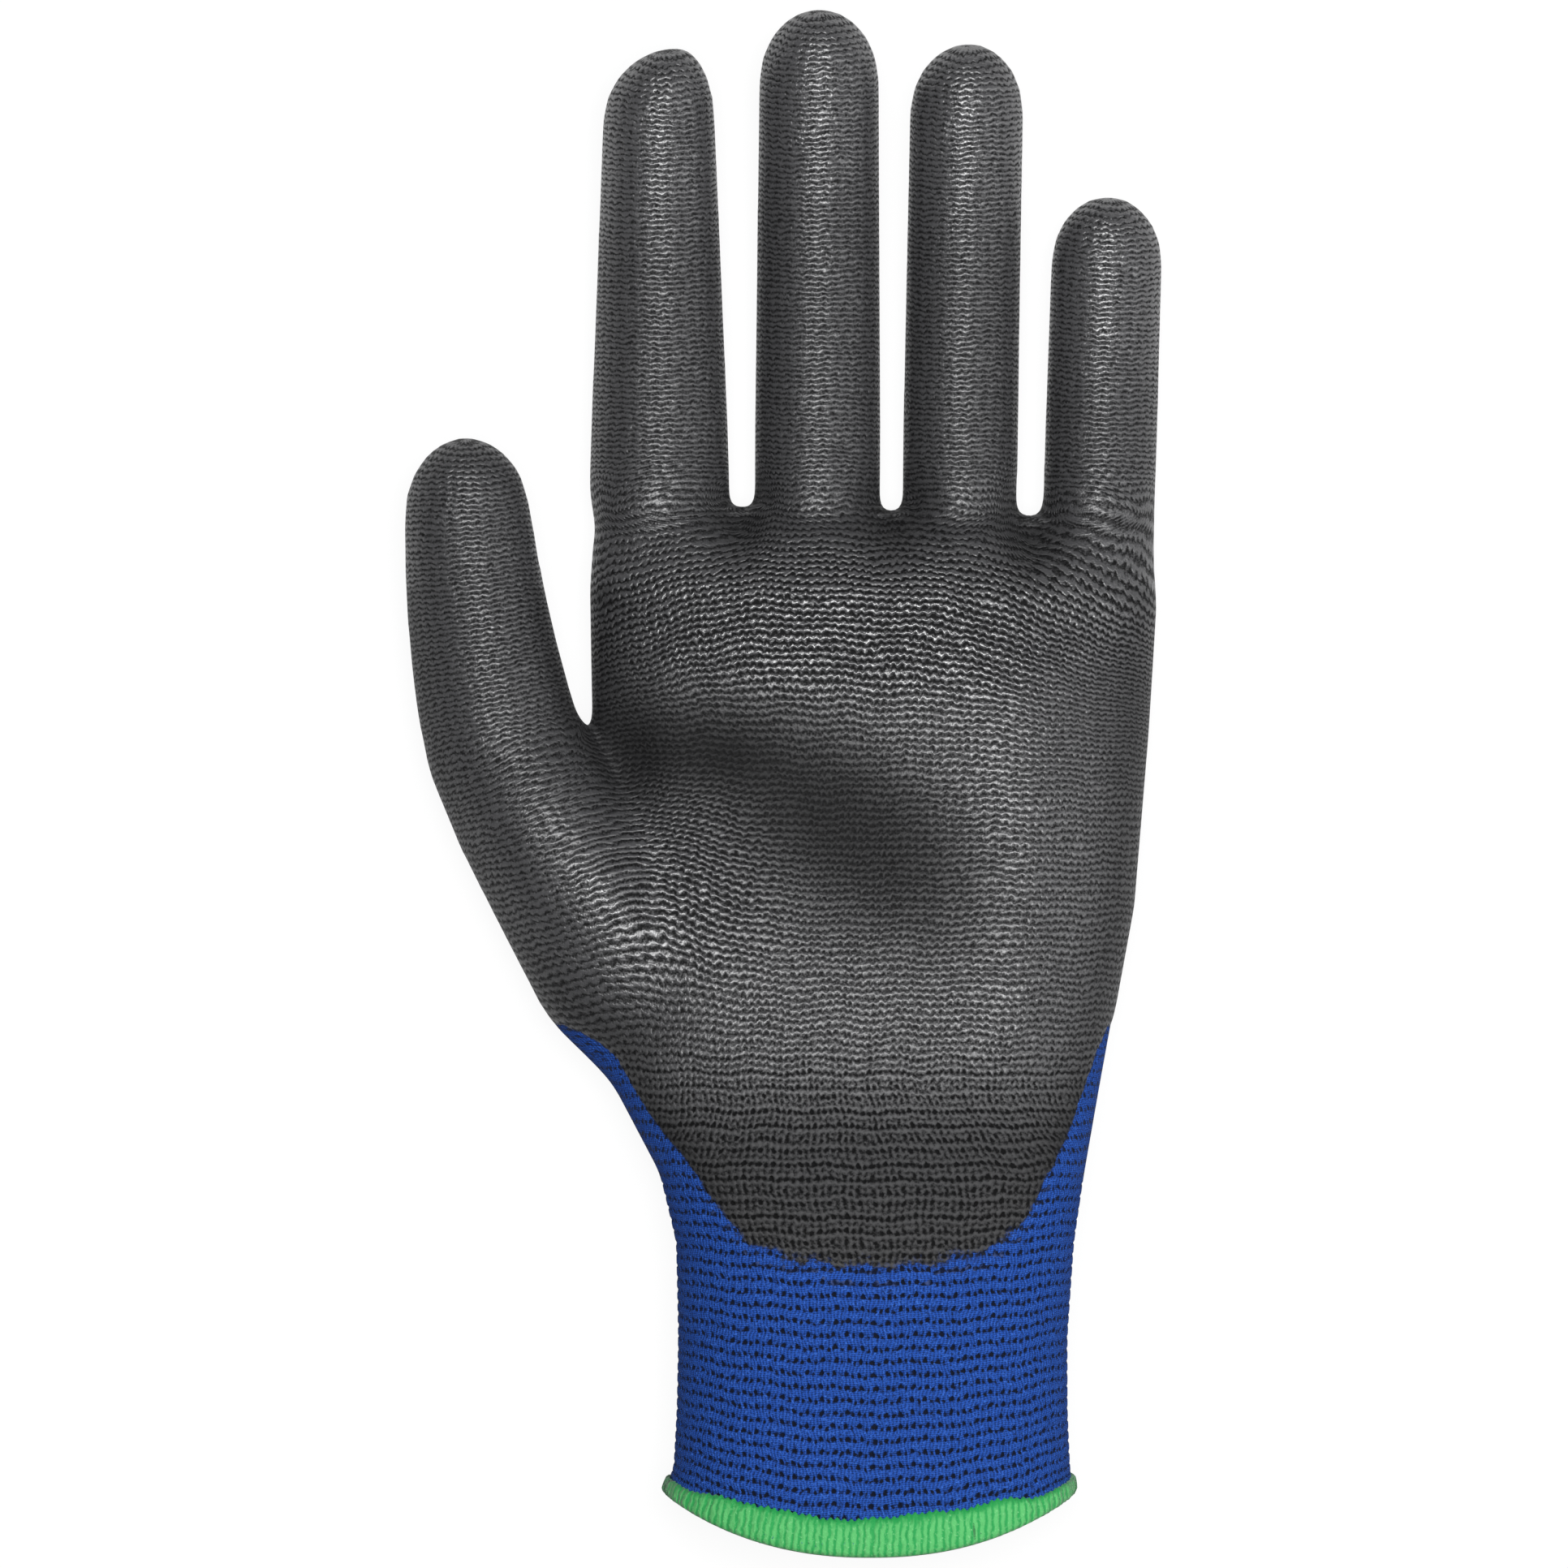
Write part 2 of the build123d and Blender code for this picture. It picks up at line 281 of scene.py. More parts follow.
def digit_rings(digit):
    """All sections of a digit, from inside the hand to its rounded tip."""
    spots = []
    for right, down, z, w, d in digit.heel:
        spots.append((np.array([digit.root[0] + right, digit.root[1] - down, z]), w, d))
    for s in np.linspace(0, digit.shaft, 6):
        spots.append((digit.centre(s), *digit.half_sizes(s)))
    rings = []
    for number, (centre, w, d) in enumerate(spots):
        before = spots[max(number - 1, 0)][0]
        after = spots[number + 1][0] if number + 1 < len(spots) else centre + digit.forward(digit.shaft)
        ahead = (after - before) / np.linalg.norm(after - before)
        rings.append(digit_ring(centre, ahead, w, d))
    end, w, d = spots[-1]
    ahead = digit.forward(digit.shaft)
    for angle in np.radians((20, 38, 54, 68, 79, 87)):
        centre = end + ahead * digit.tip_length * sin(angle)
        centre[0] += digit.tip_shift * (1 - cos(angle))
        rings.append(digit_ring(centre, ahead, w * cos(angle), d * cos(angle)))
    return rings


def grow_tube(name, rings):
    """Grows a closed tube from one circle: it is extruded once for each ring, which is then placed."""
    sides = len(rings[0])
    bpy.ops.mesh.primitive_circle_add(vertices=sides, radius=1, fill_type="NGON")
    tube = bpy.context.object
    tube.name = name
    bpy.ops.object.mode_set(mode="EDIT")
    for number, ring in enumerate(rings):
        if number:
            bpy.ops.mesh.extrude_region()
        shape = bmesh.from_edit_mesh(tube.data)
        cap = next(face for face in shape.faces if face.select and len(face.verts) == sides)
        for vertex, place in zip(cap.verts, ring):
            vertex.co = Vector(place * MM)
        bmesh.update_edit_mesh(tube.data)
    bpy.ops.mesh.select_all(action="SELECT")
    bpy.ops.mesh.normals_make_consistent(inside=False)
    bpy.ops.object.mode_set(mode="OBJECT")
    return tube


tubes = [grow_tube("hand_form", [hand_ring(row[0], ROUND) for row in HAND])]
for digit in DIGITS:
    tubes.append(grow_tube(f"{digit.name}_form", digit_rings(digit)))
print(len(tubes), "tubes,", sum(len(tube.data.polygons) for tube in tubes), "faces")

# %% [markdown]
# ## One skin
# The tubes pass through each other. A voxel remesh lays one new skin over them all, with faces of
# one size. Smoothing then rounds the steps, and most of all the webs between the fingers, where
# knitted fabric stretches from one tube to the next in a saddle, and the heel of the thumb.

# %% Melt the tubes into one skin
VOXEL = 0.95
bpy.ops.object.select_all(action="DESELECT")
for tube in tubes:
    tube.select_set(True)
bpy.context.view_layer.objects.active = tubes[0]
bpy.ops.object.join()
skin = bpy.context.object
skin.name = "glove_form"
apply_modifier(skin, "REMESH", mode="VOXEL", voxel_size=VOXEL * MM)
apply_modifier(skin, "SMOOTH", factor=0.5, iterations=5)


def smooth_where(thing, share, iterations):
    """Smooths a mesh more where the share is nearer to 1."""
    group = thing.vertex_groups.new(name="soft")
    for step in range(1, 9):
        group.add(np.flatnonzero(share >= step / 8).tolist(), step / 8, "REPLACE")
    apply_modifier(thing, "SMOOTH", factor=0.5, iterations=iterations, vertex_group="soft")
    thing.vertex_groups.remove(thing.vertex_groups["soft"])


rows = points_of(skin)
webs = np.zeros(len(rows))
for digit in DIGITS:
    level, sideways, _ = digit.along(rows)
    reach = 8 if digit is THUMB else 9
    near = np.exp(-(((level + 3) / reach) ** 2)) * (np.abs(sideways) < 2.0 * digit.half_width[0])
    webs = np.maximum(webs, near)
smooth_where(skin, webs, 24)
rows = points_of(skin)
heel = np.exp(-(((rows[:, 0] + 24) / 17) ** 2) - ((rows[:, 1] + 24) / 24) ** 2)
smooth_where(skin, heel * smoothstep(4, -6, rows[:, 1]) * 1.6, 110)
print("skin", len(skin.data.polygons), "faces")

# %% [markdown]
# The palm of a hand isn't flat: there is a pad under the fingers, a mound under the thumb, another
# under the little finger, and a hollow between them. Each is a smooth bump or dip of the palm side.

# %% Shape the palm
RELIEF = np.array([
    # x, y, height, reach in x, reach in y
    (16.0, 29.0, 1.5, 36.0, 8.0),
    (-8.0, 4.0, -2.2, 17.0, 9.0),
    (8.0, -8.0, -3.2, 14.0, 14.0),
    (38.0, -12.0, 1.9, 9.0, 30.0),
    (-19.0, -20.0, 2.0, 12.0, 13.0),
    (-25.0, 3.0, -1.8, 6.0, 8.0),
    (-6.7, 42.0, -4.8, 4.4, 5.8),
    (16.7, 42.0, -4.8, 4.4, 5.8),
    (38.0, 39.0, -4.4, 4.2, 5.4),
])


def shape_palm(thing):
    """Raises and lowers the palm side."""
    rows, out = points_of(thing), normals_of(thing)
    facing_up = smoothstep(0.1, 0.8, out[:, 2]) * smoothstep(6, 14, rows[:, 2])
    for x, y, height, reach_x, reach_y in RELIEF:
        bump = np.exp(-(((rows[:, 0] - x) / reach_x) ** 2) - ((rows[:, 1] - y) / reach_y) ** 2)
        rows[:, 2] += height * bump * facing_up
    rows[:, 2] = np.maximum(rows[:, 2], 0.0)
    set_points(thing, rows)


shape_palm(skin)
print("highest point", round(points_of(skin)[:, 2].max(), 1), "mm")

# %% [markdown]
# ## Where the pattern runs
# Knitting has rows, the courses, and columns of stitches, the wales. Both follow the glove: courses
# run round each finger, and curve over the mounds of the palm. So every vertex gets two lengths in
# millimetres, along the courses and up the wales, and they are kept as a UV map. Under the film of
# the digits the stitches are shorter and wider than on the palm, so there the lengths are scaled.

# %% Lay the courses and the wales
CUFF_WALES = 80
WALE_PITCH = 2.05
PALM_WALE = 1.27
PALM_COURSE = 1.15
DIGIT_WALE_SCALE = PALM_WALE / 1.8
DIGIT_COURSE_SCALE = 1.11 / 0.84
QUARTER = np.linspace(0, pi / 2, 90)


def arc_lengths(half_width, half_depth):
    """Length along a superellipse from its top to each angle of QUARTER."""
    across, up = superellipse(pi / 2 - QUARTER)
    steps = np.hypot(np.diff(across * half_width), np.diff(up * half_depth))
    return np.concatenate([[0], np.cumsum(steps)])


CUFF_ARC = arc_lengths(30.2, 17.8)
PALM_ARC = arc_lengths(43.5, 13.2)


def hand_place(rows):
    """Where points lie on the hand: across it from -1 to 1, and up from its middle from -1 to 1."""
    left, right, low, high, sweep = (
        np.interp(rows[:, 1] - WRIST_Y, HAND[:, 0], HAND[:, k]) for k in range(1, 6)
    )
    across = (rows[:, 0] - CENTRE_X - (right - left) / 2) / ((left + right) / 2)
    return across, (rows[:, 2] - (low + high) / 2) / ((high - low) / 2), sweep


def thumb_share(rows, level, low, high):
    """How far points belong to the thumb, from 0 on the palm to 1. Above the crotch it's cut sharp."""
    divide = np.interp(rows[:, 1], (-30, 8, 50), (-25, -31.3, -35.5))
    blur = np.interp(rows[:, 1], (-4, 8), (7, 0.4))
    return smoothstep(low, high, level) * smoothstep(divide + blur, divide - blur, rows[:, 0])


def knit_coordinates(rows, wale_scale, course_scale):
    """Wale and course of each point, in millimetres of the palm's knit."""
    across, height, sweep = hand_place(rows)
    turn = np.arctan2(np.abs(across) ** 1.3, np.abs(height) ** 1.3)
    cuff_share = smoothstep(-45, -62, rows[:, 1])
    palm, cuff = np.interp(turn, QUARTER, PALM_ARC), np.interp(turn, QUARTER, CUFF_ARC)
    wale = CENTRE_X + np.sign(across) * (palm * (1 - cuff_share) + cuff * cuff_share)
    course = rows[:, 1] - sweep * np.clip(np.abs(across), 0, 1) ** SWEEP_POWER
    pad = np.exp(-(((rows[:, 1] - 24) / 15) ** 2))
    course += pad * (0.0052 * (rows[:, 0] - 6) ** 2 - 2.0 + 0.5 * np.sin(rows[:, 0] / 6))
    heel = np.exp(-(((rows[:, 0] + 22) / 13) ** 2) - ((rows[:, 1] + 16) / 17) ** 2)
    course -= 5.5 * heel
    for digit in DIGITS:
        level, sideways, above = digit.along(rows)
        half_width, half_depth = digit.half_sizes(level)
        angle = np.arctan2(np.abs(sideways) / half_width, np.abs(above) / half_depth)
        own_wale = digit.root[0] + np.sign(sideways) * angle * (half_width + half_depth) / 2 * wale_scale
        own_course = digit.root[1] + np.where(level > 0, level * course_scale, level)
        if digit is THUMB:
            mine = thumb_share(rows, level, -22, 4)
        else:
            mine = smoothstep(-3, 7, level) * smoothstep(half_width + 5, half_width + 2, np.abs(sideways))
        wale = wale * (1 - mine) + own_wale * mine
        course = course * (1 - mine) + own_course * mine
    return uneven(wale, course)


def uneven(wale, course):
    """Shifts stitches by up to 0.3 mm from their even places, as hand and machine leave them."""
    slow_wale = 0.20 * np.sin(0.9 * course + 1.9 * np.sin(0.23 * wale))
    slow_course = 0.18 * np.sin(0.55 * wale + 0.8 * np.sin(0.4 * course))
    quick_wale = 0.10 * np.sin(2.3 * course + 0.7 * wale)
    quick_course = 0.09 * np.sin(1.9 * wale + course)
    return wale + slow_wale + quick_wale, course + slow_course + quick_course


def write_uv(thing, wale, course):
    """Writes wale and course as the mesh's UV map."""
    corners = read_all(thing.data.loops, "vertex_index", kind=np.int32)
    layer = thing.data.uv_layers.get("Knit") or thing.data.uv_layers.new(name="Knit")
    layer.uv.foreach_set("vector", np.stack([wale, course], -1)[corners].astype(np.float32).ravel())


print("a cuff of", CUFF_WALES, "wales,", round(4 * CUFF_ARC[-1]), "mm round")

# %% [markdown]
# The glove is dipped palm down and lifted out again, so the film ends at a level: along the sides of
# the hand and the fingers, and in a deep curve across the wrist. The tips go right under. A number
# on each vertex says how far inside the film's edge it lies.

# %% Find the edge of the film
EDGE_FRONT = -73.4
EDGE_RISE = 36.0
CORNER_RISE = 5
CORNER_REACH = 26
BACK_COVER = -0.30
TIP_COVER = 15.0


def film_inset(rows):
    """How far inside the film's edge each point lies, in millimetres; below 0 there is no film."""
    _, height, _ = hand_place(rows)
    x, y = rows[:, 0], rows[:, 1]
    ragged = 0.25 * np.sin(x * 0.9) + 0.15 * np.sin(x * 2.3 + 1) + 0.2 * np.sin(y * 1.7)
    corner = CORNER_RISE * np.minimum(1, ((x - CENTRE_X) / CORNER_REACH) ** 2)
    edge = EDGE_FRONT + corner + (EDGE_RISE - CORNER_RISE) * smoothstep(0.06, 0.72, 1 - height)
    inset = np.minimum((y - edge) * 0.6 + ragged, (height - BACK_COVER) * 13 + ragged)
    for digit in DIGITS:
        level, sideways, above = digit.along(rows)
        half_width, half_depth = digit.half_sizes(level)
        own = np.maximum((above / half_depth + 0.42) * half_depth + ragged, level - digit.length + TIP_COVER)
        if digit is THUMB:
            mine = thumb_share(rows, level, -26, -6)
        else:
            mine = smoothstep(-6, 3, level) * (np.abs(sideways) < half_width + 2.4)
        inset = inset * (1 - mine) + own * mine
    return inset


def write_number(thing, name, values):
    """Writes one number on each vertex."""
    layer = thing.data.attributes.new(name, "FLOAT", "POINT")
    layer.data.foreach_set("value", values.astype(np.float32))


def read(thing, name):
    """Reads one number from each vertex."""
    return read_all(thing.data.attributes[name].data, "value").astype(float)


print("film from", EDGE_FRONT, "mm at the wrist, rising", EDGE_RISE, "mm to the sides")

# %% [markdown]
# ## The cuff
# The cuff is the part where single stitches show, so its knit is real relief: every stitch leaves a
# small pit between its legs. A grid of four faces by five for each stitch is rolled into a sleeve,
# laid on the skin by a shrinkwrap, and pressed in at each pit. Solidify then gives it a wall.

# %% Roll the cuff and press in its stitches
COURSE_PITCH = 2.0
SAMPLES = (4, 5)
PIT_DEPTH = 0.50
ARCH = 0.30
GROOVE = 0.12
KNIT_WALL = 1.1


def even_angles(count):
    """Angles that divide the cuff's outline evenly, from the middle of the palm side."""
    whole = CUFF_ARC[-1]
    turns, rest = np.divmod(np.arange(count) * 4 * whole / count, whole)
    rising = np.interp(rest, CUFF_ARC, QUARTER)
    falling = pi / 2 - np.interp(whole - rest, CUFF_ARC, QUARTER)
    return pi / 2 - (turns * pi / 2 + np.where(turns % 2 == 0, rising, falling))


def roll_sleeve(name, rings):
    """A sleeve rolled from a grid, open at both ends: its columns run round it."""
    count, around = len(rings), len(rings[0])
    bpy.ops.mesh.primitive_grid_add(x_subdivisions=around, y_subdivisions=count - 1, size=1)
    sleeve = bpy.context.object
    sleeve.name = sleeve.data.name = name
    closed = np.concatenate([rings, rings[:, :1]], 1)
    set_points(sleeve, closed.reshape(-1, 3))
    bpy.ops.object.mode_set(mode="EDIT")
    bpy.ops.mesh.select_all(action="SELECT")
    bpy.ops.mesh.remove_doubles(threshold=0.02 * MM)
    bpy.ops.mesh.normals_make_consistent(inside=False)
    bpy.ops.object.mode_set(mode="OBJECT")
    return sleeve


def stitch_pits(wale, course):
    """0 on the yarn and 1 at the bottom of the pit of each stitch; a groove joins each row of pits."""
    arch = ARCH * np.abs(np.sin(wale * pi / WALE_PITCH))
    along = np.clip(np.cos((course + arch) * tau / COURSE_PITCH), 0, 1)
    across = 0.5 + 0.25 * np.cos(wale * tau / WALE_PITCH) + 0.25 * np.cos(2 * wale * tau / WALE_PITCH)
    return along * (GROOVE + (1 - GROOVE) * across)


around = CUFF_WALES * SAMPLES[0]
levels = np.linspace(RIM, 0, round(-RIM / COURSE_PITCH * SAMPLES[1]) + 1)
rings = np.array([hand_ring(level, even_angles(around)) for level in levels])
cuff_knit = roll_sleeve("cuff_knit", rings)
print("cuff", len(cuff_knit.data.polygons), "faces,", len(rings), "rings")

# %% [markdown]
# The pits have to sit where the colours of the stitches will be, and the even places of stitches are
# known only from the grid. A merge may shuffle vertices, so each is found again by where it lies.

# %% Find each vertex in the grid and press the pits


def there_and_back(around, samples, pitch):
    """Lengths round a sleeve of columns: out from the middle of the palm side to each side, and back."""
    quarter = around / 4
    step = np.arange(around)
    length = (quarter - np.abs(step % (2 * quarter) - quarter)) * pitch / samples
    return np.where(step < 2 * quarter, length, -length)


def ring_order(thing, rings):
    """Which ring and column each vertex of a sleeve came from, found by its place."""
    places = points_of(thing)
    flat = rings.reshape(-1, 3)
    order = np.lexsort(np.round(flat, 3).T)
    found = np.lexsort(np.round(places, 3).T)
    match = np.empty(len(places), int)
    match[found] = order
    return match // rings.shape[1], match % rings.shape[1]


ring_number, column = ring_order(cuff_knit, rings)
level = levels[ring_number]
apply_modifier(cuff_knit, "SHRINKWRAP", target=skin, wrap_method="NEAREST_SURFACEPOINT")
even_wale = there_and_back(around, SAMPLES[0], WALE_PITCH)[column]
wale, course = uneven(CENTRE_X + even_wale, WRIST_Y + level)
write_uv(cuff_knit, wale, course)
rows, out = points_of(cuff_knit), normals_of(cuff_knit)
inset = film_inset(rows)
write_number(cuff_knit, "film_inset", inset)
relief = smoothstep(0, -2.0, inset) * smoothstep(RIM + 1, RIM + 3, level) * smoothstep(0, -2, level)
pits = stitch_pits(wale - CENTRE_X, course - WRIST_Y) * PIT_DEPTH
set_points(cuff_knit, rows - out * (pits * relief)[:, None])
apply_modifier(cuff_knit, "SOLIDIFY", thickness=KNIT_WALL * MM, offset=-1, use_even_offset=False)
print("deepest pit", round((pits * relief).max(), 2), "mm")

# %% [markdown]
# ## The hem
# An overlock stitch closes the raw edge of the cuff: a thread is wrapped round and round the edge,
# so close that it hides the knit. Seen from the palm the band is a crescent, because it rolls
# inwards at the two sides. Its section is a hook that goes over the edge, and the wraps are ridges
# across it, each a thread wide.

# %% Wrap the hem
WRAP_PITCH = 1.05
WRAP_SAMPLES = 5
HEM_HEIGHT = 5.4
HEM_WALL = 0.35
HEM_PROFILE = (
    # share of the height above the edge, distance outwards from the knit, height of the wraps
    (1.0, -0.05, 0.0), (0.95, 0.30, 0.6), (0.80, 0.52, 1.0), (0.55, 0.58, 1.0), (0.30, 0.60, 1.0),
    (0.06, 0.56, 1.0), (-0.06, 0.25, 1.0), (-0.10, -0.55, 1.0), (-0.06, -1.35, 1.0),
    (0.10, -1.70, 1.0), (0.45, -1.76, 1.0), (0.80, -1.66, 0.6), (0.90, -1.20, 0.0),
)


def hem_rings():
    """The rings of the hem, from its upper edge outside over the edge to the inside."""
    wraps = 4 * round(CUFF_ARC[-1] / WRAP_PITCH)
    angles = even_angles(wraps * WRAP_SAMPLES)
    edge, above = hand_ring(RIM, angles), hand_ring(RIM + HEM_HEIGHT, angles)
    upward = (above - edge) / np.linalg.norm(above - edge, axis=1, keepdims=True)
    onward = np.roll(edge, -1, 0) - np.roll(edge, 1, 0)
    out = np.cross(onward, upward)
    out /= np.linalg.norm(out, axis=1, keepdims=True)
    phase = np.arange(len(angles)) * tau / WRAP_SAMPLES
    ridge = (0.07 + 0.03 * np.sin(angles * 23)) * np.cos(phase) + 0.05 * np.sin(angles * 41 + 1)
    slow = 0.34 * np.sin(angles * 5 + 1) + 0.26 * np.sin(angles * 13 + 2) + 0.12 * np.sin(angles * 57)
    across = np.abs(superellipse(angles)[0])
    height = (HEM_HEIGHT + slow + 0.22 * np.cos(phase)) * (1 - 0.62 * smoothstep(0.55, 1.0, across))
    rings = []
    for share, away, wrap in HEM_PROFILE:
        outside = away > -0.5
        tall = height if outside and share > 0 else np.full(len(angles), HEM_HEIGHT)
        bulge = ridge * wrap if outside else -ridge * wrap
        rings.append(edge + upward * (share * tall)[:, None] + out * (away + bulge)[:, None])
    return np.array(rings)


rings = hem_rings()
hem = roll_sleeve("hem_thread", rings)
ring_number, column = ring_order(hem, rings)
around = rings.shape[1]
write_uv(hem, there_and_back(around, WRAP_SAMPLES, WRAP_PITCH)[column], ring_number * 1.0)
apply_modifier(hem, "SOLIDIFY", thickness=HEM_WALL * MM, offset=-1, use_even_offset=False)
print("hem", len(hem.data.polygons), "faces")

# %% [markdown]
# ## Cut where the glove folds
# A finger has three folds. So each finger is cut midway between its folds, and each of its pieces
# holds the fold in its own middle. The bisect tool cuts the skin there, square to the finger, so that
# both sides share the same edge.

# %% Cut the digits between their folds
ROOT_CUT = {digit.name: 3.0 if digit is THUMB else 2.6 for digit in DIGITS}
SIDE_MARGIN = 2.5


def cuts_of(digit):
    """Distances from the root where a digit is cut."""
    between = [(a + b) / 2 for a, b in zip(digit.folds, digit.folds[1:])]
    return [ROOT_CUT[digit.name], *between]


def centres_of(thing):
    """The centres of a mesh's faces in millimetres."""
    return read_all(thing.data.polygons, "center", 3).astype(float) / MM


def select_faces(thing, chosen):
    """Selects these faces of the active mesh, and no others."""
    bpy.ops.object.mode_set(mode="EDIT")
    bpy.ops.mesh.select_mode(type="FACE")
    bpy.ops.mesh.select_all(action="DESELECT")
    bpy.ops.object.mode_set(mode="OBJECT")
    thing.data.polygons.foreach_set("select", chosen)
    bpy.ops.object.mode_set(mode="EDIT")


def cut_skin(chosen, place, square):
    """Cuts the chosen faces of the skin along a plane."""
    select_faces(skin, chosen)
    bpy.ops.mesh.bisect(plane_co=tuple(place * MM), plane_no=tuple(square), threshold=1e-5)
    bpy.ops.object.mode_set(mode="OBJECT")


only(skin)
cut_skin(np.abs(centres_of(skin)[:, 1] - WRIST_Y) < 4, np.array([0, WRIST_Y, 0]), (0, 1, 0))
for digit in DIGITS:
    for distance in cuts_of(digit):
        level, sideways, _ = digit.along(centres_of(skin))
        close = (np.abs(level - distance) < 4) & (np.abs(sideways) < digit.half_width[0] + SIDE_MARGIN)
        cut_skin(close, digit.centre(distance), digit.forward(distance))

part_of = np.zeros(len(skin.data.polygons), int)
parts = [("hand", None, 0)]
places = centres_of(skin)
for digit in DIGITS:
    level, sideways, _ = digit.along(places)
    close = (np.abs(sideways) < digit.half_width[0] + SIDE_MARGIN) & (level < digit.length + 5)
    for number, distance in enumerate(cuts_of(digit)):
        parts.append((f"{digit.name}_{ZONES[digit.name][number]}", digit, number))
        part_of[close & (level > distance)] = len(parts) - 1
print("faces in each part", dict(zip([part[0] for part in parts], np.bincount(part_of).tolist())))

# %% [markdown]
# ## The liner and the film
# Each part of the skin is used twice. The liner is the skin itself with a wall of knit behind it.
# The film is a copy of the dipped area, lifted off the knit by its own thickness, whose edge sinks
# into the yarn, because a dip soaks in and has no lip.

# %% Helpers to cut out a part and lift its film
FILM_LIFT = 0.30
FILM_SINK = 0.08
FILM_WALL = 0.22
FILM_MARGIN = -1.6
skin_rows = points_of(skin)
write_number(skin, "film_inset", film_inset(skin_rows))
outward = skin.data.attributes.new("outward", "FLOAT_VECTOR", "POINT")
outward.data.foreach_set("vector", normals_of(skin).astype(np.float32).ravel())


def cut_out(name, chosen):
    """A copy of the chosen faces of the skin as an object of its own."""
    only(skin)
    bpy.ops.object.duplicate()
    copy = bpy.context.object
    copy.name = copy.data.name = name
    select_faces(copy, ~chosen)
    bpy.ops.mesh.delete(type="FACE")
    bpy.ops.object.mode_set(mode="OBJECT")
    return copy


def face_mean(thing, values):
    """The mean of a vertex value over each face's corners."""
    counts = read_all(thing.data.polygons, "loop_total", kind=np.int32)
    corners = read_all(thing.data.loops, "vertex_index", kind=np.int32)
    return np.add.reduceat(values[corners], np.concatenate([[0], np.cumsum(counts)[:-1]])) / counts


def lift_film(film):
    """Lifts a film off the knit, and sinks its edge into it."""
    out = read_all(film.data.attributes["outward"].data, "vector", 3)
    lift = (FILM_LIFT + FILM_SINK) * smoothstep(-0.8, 2.2, read(film, "film_inset")) - FILM_SINK
    set_points(film, points_of(film) + lift[:, None] * out)


inset_of_face = face_mean(skin, read(skin, "film_inset"))
print("film covers", round(100 * np.mean(inset_of_face > 0)), "% of the skin's faces")

# %% [markdown]
# The film's colour carries painted light: painted shade in the hollow of the palm, between the
# fingers and low on the sides, painted highlights on the pads and the fingertips, where the film is
# also glossier, and a darker, less glossy film towards the wrist. A number on each vertex says how
# glossy and how brightly painted the film is there, and another how deeply the stitches show under
# it, for the finish to read.

# %% Where the film is glossy, with painted light and shade
GLOSS_AND_PAINTED_LIGHT_PATCHES = (
    # x, y, reach along, reach across, turn in degrees, change of gloss and of painted light
    # Painted shade in the hollow of the palm and below the index.
    (9, -6, 28, 13, -34, -0.66),
    (-17, 6, 14, 8, 0, -0.34),
    # Painted light on the pads under the fingers, under the little finger and under the thumb.
    (16, 25, 40, 10, 0, 0.42),
    (37, -10, 12, 28, 0, 0.16),
    (-24, -18, 13, 13, 0, 0.16),
    # Painted shade in the webs between the fingers.
    (-6.7, 42, 5, 7, 0, -0.5),
    (16.7, 42, 5, 7, 0, -0.5),
    (38, 39, 5, 7, 0, -0.5),
)
FULL_GLOSS_AND_LIGHT = 1.4


def mound(rows, middle, reach, turn=0.0):
    """1 at the middle of an oval patch of the palm, falling to 0 outside it."""
    x, y = rows[:, 0] - middle[0], rows[:, 1] - middle[1]
    along, across = x * cos(turn) + y * sin(turn), y * cos(turn) - x * sin(turn)
    return np.exp(-(((along / reach[0]) ** 2 + (across / reach[1]) ** 2) ** 1.5))


def film_gloss_and_painted_light(rows):
    """How glossy the film is, and how much painted light it gets: 0 is matt and dark, the tips the most."""
    y = rows[:, 1]
    # Darker and less glossy towards the wrist.
    gloss_and_painted_light = 0.90 - 0.44 * smoothstep(-40, -58, y)
    for x, level, along, across, turn, change in GLOSS_AND_PAINTED_LIGHT_PATCHES:
        gloss_and_painted_light += change * mound(rows, (x, level), (along, across), radians(turn))
    # Painted shade low on the sides of the hand, below the fingers.
    gloss_and_painted_light -= 0.35 * smoothstep(0.86, 0.5, hand_place(rows)[1]) * (y < 30)
    for digit in DIGITS[:-1]:
        level, sideways, _ = digit.along(rows)
        # A painted highlight and more gloss on the fingertips.
        gloss_and_painted_light += 0.5 * smoothstep(digit.length - 34, digit.length - 14, level) * (np.abs(sideways) < 11)
    return np.clip(gloss_and_painted_light, 0, FULL_GLOSS_AND_LIGHT)


write_number(skin, "gloss_and_painted_light", film_gloss_and_painted_light(skin_rows))
pads = mound(skin_rows, (14, 25), (46, 11)) + 0.6 * mound(skin_rows, (-14, -15), (13, 13))
write_number(skin, "taut", 0.74 + 0.8 * pads)
gloss_and_light_values = read(skin, "gloss_and_painted_light")
print("sheen from", round(gloss_and_light_values.min(), 2), "to", round(gloss_and_light_values.max(), 2))

